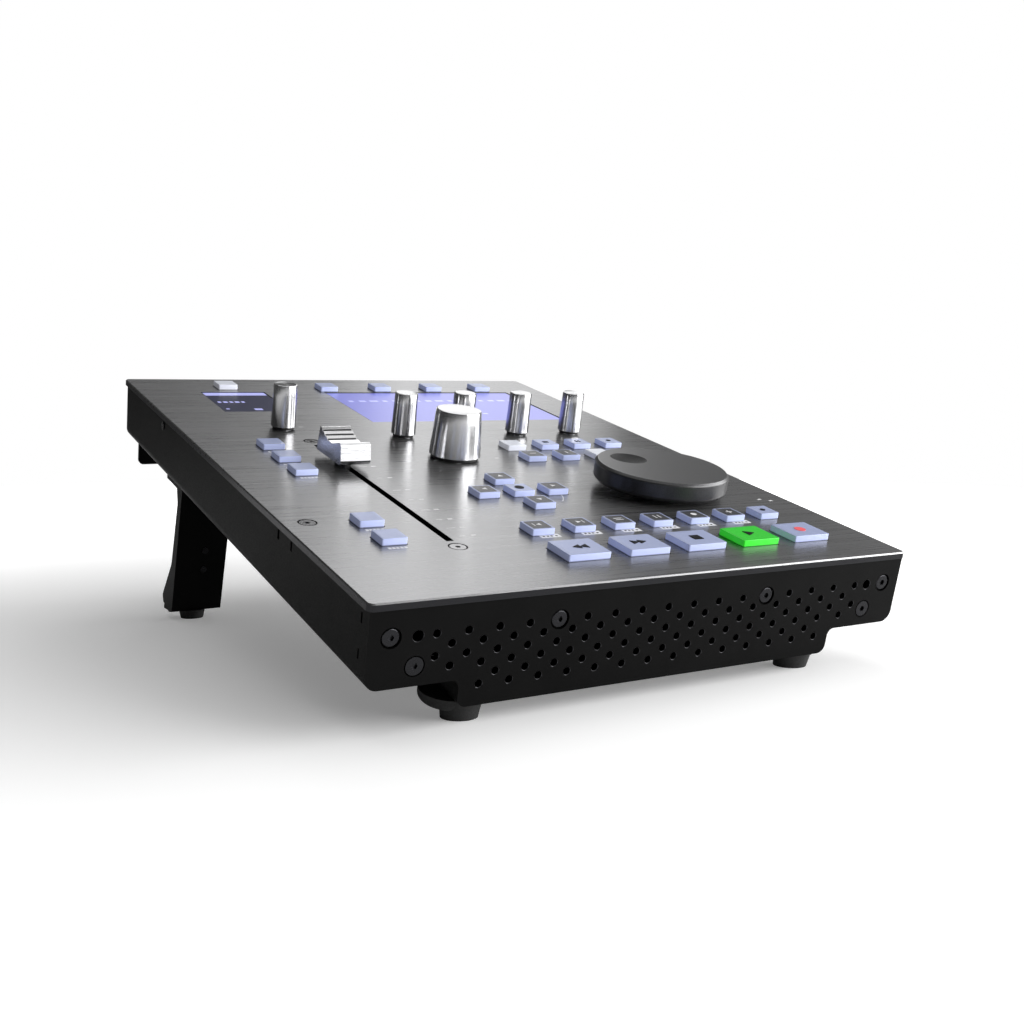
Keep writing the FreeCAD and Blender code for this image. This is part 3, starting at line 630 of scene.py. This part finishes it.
CAP_VALLEY_RISE = 5.7          # from the cap's base up to its finger valley
CAP_RIBS = ((1.3, -0.1, 2.1, 1.5), (3.9, 0.9, 2.1, 1.5), (6.5, 1.9, 1.5, 1.6))   # dy, dz, run, rise
GROOVE_SHARE = 0.45            # of each rib's slope that the painted groove shade covers
low, high = panel_box("fader_cap")
foot = [(low.y + 1.2, low.z + 0.02), (low.y - 0.03, low.z + 1.3), (low.y + 0.02, low.z + 1.7),
        (low.y + 0.4, low.z + 1.7), (low.y + 1.5, low.z + 0.3)]
lines = [x_prism(foot, low.x + 0.05, high.x - 0.05)]
# painted shade: thin near-black strips lie on the low part of each rib's slope, where the grooves between
# the ribs fall in shade
for dy, dz, run, rise in CAP_RIBS:
    y, z = middle(low, high)[1] + dy, low.z + CAP_VALLEY_RISE + dz
    end_y, end_z = y + run * GROOVE_SHARE, z + rise * GROOVE_SHARE
    groove_shade = [(y, z - 0.1), (end_y, end_z - 0.1), (end_y - 0.05, end_z + 0.06), (y - 0.15, z + 0.1)]
    lines.append(x_prism(groove_shade, low.x + 0.3, high.x - 0.3))
add_piece("fader_cap_foot_and_groove_shade", *merge(lines), nodes["fader_cap"]["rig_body"],
          moulded("foot_black_and_groove_shade", (0.008, 0.008, 0.009)), "black_plastic", smooth=20)


# ---- jog wheel's finger dimple, darkened by a sheet of painted shade ----------------------
DIMPLE = Vector((-8.2, 10.0, 0))
DIMPLE_R = 7.0
DIMPLE_DEPTH = 2.2
SHADE_SHEET_RISE = 0.04
low, high = panel_box("jog_wheel")
ball_r = (DIMPLE_R ** 2 + DIMPLE_DEPTH ** 2) / (2 * DIMPLE_DEPTH)
rings = []
for step in range(13):
    radius = DIMPLE_R * 0.985 * (1 - step / 12)
    rings.append((radius, ball_r - math.sqrt(ball_r ** 2 - radius ** 2) - DIMPLE_DEPTH + SHADE_SHEET_RISE))
centre = Vector((*middle(low, high), high.z)) + DIMPLE
# painted shade: a near-black sheet just above the dimple's surface stands for the shade and dark reflection
# in the hollow
add_piece("jog_dimple_shade", *lathe(rings, 64), nodes["jog_wheel"]["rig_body"],
          moulded("dimple_painted_shade", (0.006, 0.006, 0.007), rough=(0.5, 0.65)), "black_plastic", centre)


# ---- vent rims: a lighter, shinier ring round each punched hole as a painted highlight on its rounded edge ---
VENT_PITCH = (9.8, 3.35)
VENT_TOP_Z = -10.6
VENT_R = 1.3
VENT_REACH = (8, 8, 8, 8, 6, 7)
BIG_VENT_X = (-84.0, 84.0)
BIG_VENT_Z = -10.7
BIG_VENT_R = 1.75
SCREW_X = 39.2                 # a button screw takes this vent's place in the top row
RIM_STEPS = ((0.02, -0.02), (-0.06, 0.05), (-0.13, 0.25))   # past the hole's radius, into the panel


def vent_rim(x, z, face_y, radius, segments=20):
    loops = []
    for extra, depth in RIM_STEPS:
        r = radius + extra
        loops.append([(x + r * math.cos(math.tau * k / segments), face_y + depth,
                       z + r * math.sin(math.tau * k / segments)) for k in range(segments)])
    return skin(loops, close_last=False)


face_y = panel_box("front_panel")[0].y
rims = [vent_rim(x, BIG_VENT_Z, face_y, BIG_VENT_R) for x in BIG_VENT_X]
for row, reach in enumerate(VENT_REACH):
    for step in range(-reach, reach + 1 - row % 2):
        x = (step + 0.5 * (row % 2)) * VENT_PITCH[0]
        if row or abs(abs(x) - SCREW_X) > 0.5:
            rims.append(vent_rim(x, VENT_TOP_Z - row * VENT_PITCH[1], face_y, VENT_R))
# painted highlight: the rims get a lighter, shinier metal than the black panel, so each rounded edge shows
# a glint
add_piece("front_vent_glint_rims", *merge(rims), "chassis",
          metal("vent_rim_glint", (0.075, 0.075, 0.08), rough=(0.3, 0.45)), "black_steel")


# ---- displays ---------------------------------------------------------------------------
SCREEN_BLUE = glowing("screen_blue", (0.16, 0.17, 0.55), 0.75)
SCREEN_LIGHT = glowing("screen_light", (0.4, 0.42, 0.8), 0.8)
SCREEN_NAVY = glowing("screen_navy", (0.012, 0.015, 0.06), 0.5, base=0.2)


SCREEN_FILM = 0.03
WORD_PITCH = 5.5
WORD_MARGIN = 6.0
HEADER_DEPTH = 5.0


def screen_piece(name, outlines, material, level):
    """Thin lit shapes lying a number of films above the glass."""
    z = GLASS_Z + SCREEN_FILM * level
    shapes = [plate_shape(outline, z, SCREEN_FILM) for outline in outlines]
    add_piece(name, *merge(shapes), "chassis", material, "display_glass")


def window(node):
    """The glass of a display node, as (x0, y0, width, depth)."""
    glass = [point for point in panel_points(node) if point.z > GLASS_Z - 0.05]
    x0, x1 = min(p.x for p in glass), max(p.x for p in glass)
    y0, y1 = min(p.y for p in glass), max(p.y for p in glass)
    return x0, y0, x1 - x0, y1 - y0


x0, y0, width, depth = window("main_display")
field = bar(x0 + width / 2, y0 + depth / 2, width - 1, depth - 1)
screen_piece("main_screen_field", [field], SCREEN_BLUE, 1)
words = []
for number in range(16):
    x = x0 + WORD_MARGIN + WORD_PITCH * number
    words.append(bar(x, y0 + depth * 0.7, 2.2 + 0.9 * (number * 7 % 3), 2.6))
    if number % 4 == 2:
        words.append(bar(x, y0 + depth * 0.24, 2.6, 2.0))
screen_piece("main_screen_text", words, SCREEN_LIGHT, 2)

x0, y0, width, depth = window("channel_display")
field = bar(x0 + width / 2, y0 + depth / 2, width - 0.8, depth - 0.8)
header = bar(x0 + width / 2, y0 + depth - 2.9, width - 1, HEADER_DEPTH)
words = [bar(x0 + width * (0.1 + 0.09 * number), y0 + depth * 0.5, 1.4 + 0.5 * (number % 2), 2.2)
         for number in range(5)]
words += [bar(x0 + width * 0.55, y0 + depth * 0.13, 3.4, 2.6),
          bar(x0 + width * 0.1, y0 + depth * 0.16, 1.4, 1.4)]
screen_piece("channel_screen_field", [field], SCREEN_NAVY, 1)
screen_piece("channel_screen_header", [header], SCREEN_LIGHT, 2)
screen_piece("channel_screen_text", words, SCREEN_LIGHT, 2)


# ---- printed marks ----------------------------------------------------------------------
LABEL_OFFSET = (2.0, -4.9)      # from the middle of a key
LABEL_SIZE = (7.4, 3.0)
TICK_Y = (149.0, 137.0, 122.0, 107.5, 93.0, 82.0, 71.0, 61.0, 52.6, 45.0)
NAV_ARC_R = 15.9
RIGHT_MARKS = ((87.4, 61.8), (91.2, 59.6))
KNOB_MARKS = {"knob_select": ((-9.5, -3.3), (-2.3, -8.6), (17.4, -2.8)), "knob_channel": ((8.3, 2.5),)}
NAMED_KEYS = ("key_cut", "key_flip", "key_master", "key_select", "key_solo")


def mark(x, y, width, depth, z=PRINT_Z):
    return plate_shape(bar(x, y, width, depth), z)


def print_piece(name, shapes, material=PRINT_WHITE, slot="key_white"):
    add_piece(name, *merge(shapes), "chassis", material, slot)


boxes, dashes = [], []
for number in range(1, 7):
    x, y = middle(*panel_box(f"key_row_{number}"))
    x, y = x + LABEL_OFFSET[0], y + LABEL_OFFSET[1]
    boxes.append(mark(x, y, *LABEL_SIZE))
    dashes += [mark(x + step, y - 0.2, 0.8, 0.8, PRINT_Z + 0.02) for step in (-2.4, -0.9, 0.5, 2.3)]
print_piece("print_label_boxes", boxes)
print_piece("print_label_dashes", dashes, PRINT_DARK, "black_plastic")

fader_x = middle(*panel_box("fader_body"))[0]
ticks = []
for number, y in enumerate(TICK_Y):
    ticks.append(mark(fader_x + 6.0, y, 3.0 if number % 2 == 0 else 2.0, 0.35))
    ticks.append(mark(fader_x + 10.0, y, 1.8, 1.0))
print_piece("print_fader_scale", ticks)

x, y = middle(*panel_box("key_nav_mode"))
print_piece("print_nav_arcs", [arc_strip(x, y, NAV_ARC_R, 0.4, start, start + 30) for start in (-42, 138)])

dots = [mark(x, y, 1.6, 1.0) for x, y in RIGHT_MARKS]
for name, offsets in KNOB_MARKS.items():
    x, y = middle(*panel_box(name))
    dots += [mark(x + dx, y + dy, 1.7, 0.6) for dx, dy in offsets]
print_piece("print_knob_marks", dots)

dashes = []
for name in NAMED_KEYS:
    low, high = panel_box(name)
    x, y = middle(low, high)[0], low.y - 1.2
    dashes += [mark(x + step, y, 1.0, 1.5) for step in (-2.6, -1.3, 0, 1.3, 2.6)]
print_piece("print_key_names", dashes)


# ---- stage, light and camera --------------------------------------------------------------
ROOM_LEFT = 0.04
ROOM_RIGHT = 0.22
FLOOR_R = 0.85
FLOOR_UNSEEN_GLOW = 0.15       # share of the floor's own light that falls on the object
FLOOR_FADE = (("From Min", 0.12), ("From Max", 0.6), ("To Min", 0.22), ("To Max", 1.0))
CAMERA_AT = (-0.22256, -0.41184, 0.09276)
CAMERA_AZIMUTH = 30.71         # degrees from +Y towards +X
CAMERA_DIP = 5.74
CAMERA_LENS = 42.06


def stage_floor():
    mesh = bpy.data.meshes.new("floor")
    turns = [math.tau * k / 128 for k in range(128)]
    rim = [(FLOOR_R * math.cos(turn), FLOOR_R * math.sin(turn), 0) for turn in turns]
    mesh.from_pydata(rim, [], [tuple(range(128))])
    paint = Paint("floor_pale", (0.9, 0.9, 0.9), roughness=0.9)
    paint.set("Specular IOR Level", 0.1)
    paint.set("Emission Color", (1, 1, 1, 1))
    away = paint.node("ShaderNodeVectorMath", operation="LENGTH")
    paint.link(paint.coord, away.inputs[0])
    fade = paint.node("ShaderNodeMapRange", interpolation_type="SMOOTHSTEP")
    for socket, value in FLOOR_FADE:
        fade.inputs[socket].default_value = value
    paint.link(away.outputs["Value"], fade.inputs["Value"])
    seen = paint.node("ShaderNodeMapRange")
    seen.inputs["To Min"].default_value = FLOOR_UNSEEN_GLOW
    paint.link(paint.node("ShaderNodeLightPath").outputs["Is Camera Ray"], seen.inputs["Value"])
    product = paint.node("ShaderNodeMath", operation="MULTIPLY")
    paint.link(fade.outputs["Result"], product.inputs[0])
    paint.link(seen.outputs["Result"], product.inputs[1])
    paint.link(product.outputs[0], paint.shader.inputs["Emission Strength"])
    mesh.materials.append(paint.material)
    floor = bpy.data.objects.new("floor", mesh)
    bpy.context.scene.collection.objects.link(floor)
    floor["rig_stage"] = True


def soft_light(name, azimuth, elevation, distance, size, power, target=(0, 0, 0.05)):
    """An area light at an azimuth from +Y towards +X, aimed at the object."""
    a, e = math.radians(azimuth), math.radians(elevation)
    way = Vector((math.sin(a) * math.cos(e), math.cos(a) * math.cos(e), math.sin(e)))
    data = bpy.data.lights.new(name, "AREA")
    data.shape = "RECTANGLE"
    data.size, data.size_y = size
    data.energy = power
    light = bpy.data.objects.new(name, data)
    light.location = Vector(target) + way * distance
    light.rotation_mode = "QUATERNION"
    light.rotation_quaternion = way.to_track_quat("Z", "Y")
    bpy.context.scene.collection.objects.link(light)


def sky():
    world = bpy.data.worlds.new("studio")
    bpy.context.scene.world = world
    world.use_nodes = True
    tree = world.node_tree
    tree.nodes.clear()
    out = tree.nodes.new("ShaderNodeOutputWorld")
    mix = tree.nodes.new("ShaderNodeMixShader")
    path = tree.nodes.new("ShaderNodeLightPath")
    backgrounds = []
    for index in (1, 2):
        background = tree.nodes.new("ShaderNodeBackground")
        background.inputs["Color"].default_value = (1, 1, 1, 1)
        tree.links.new(background.outputs[0], mix.inputs[index])
        backgrounds.append(background)
    way = tree.nodes.new("ShaderNodeTexCoord")
    split = tree.nodes.new("ShaderNodeSeparateXYZ")
    fade = tree.nodes.new("ShaderNodeMapRange")
    span = (("From Min", -1), ("From Max", 1), ("To Min", ROOM_LEFT), ("To Max", ROOM_RIGHT))
    for socket, value in span:
        fade.inputs[socket].default_value = value
    tree.links.new(way.outputs["Generated"], split.inputs[0])
    tree.links.new(split.outputs["X"], fade.inputs["Value"])
    tree.links.new(fade.outputs["Result"], backgrounds[0].inputs["Strength"])
    tree.links.new(path.outputs["Is Camera Ray"], mix.inputs[0])
    tree.links.new(mix.outputs[0], out.inputs["Surface"])


def camera():
    azimuth, dip = math.radians(CAMERA_AZIMUTH), math.radians(CAMERA_DIP)
    way = Vector((math.sin(azimuth) * math.cos(dip), math.cos(azimuth) * math.cos(dip), -math.sin(dip)))
    data = bpy.data.cameras.new("camera")
    data.sensor_width = 36.0
    data.lens = CAMERA_LENS
    data.clip_start, data.clip_end = 0.02, 30.0
    made = bpy.data.objects.new("camera", data)
    made.location = CAMERA_AT
    made.rotation_mode = "QUATERNION"
    made.rotation_quaternion = way.to_track_quat("-Z", "Y")
    bpy.context.scene.collection.objects.link(made)
    bpy.context.scene.camera = made


stage_floor()
sky()
soft_light("light_back", 33, 39, 1.6, (0.42, 1.3), 2.9)
soft_light("light_right", 123, 17, 1.4, (2.1, 0.95), 41)
soft_light("light_top", 60, 80, 1.8, (2.2, 2.2), 12)
camera()
bpy.context.scene.view_settings.view_transform = "Standard"

low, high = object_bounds()
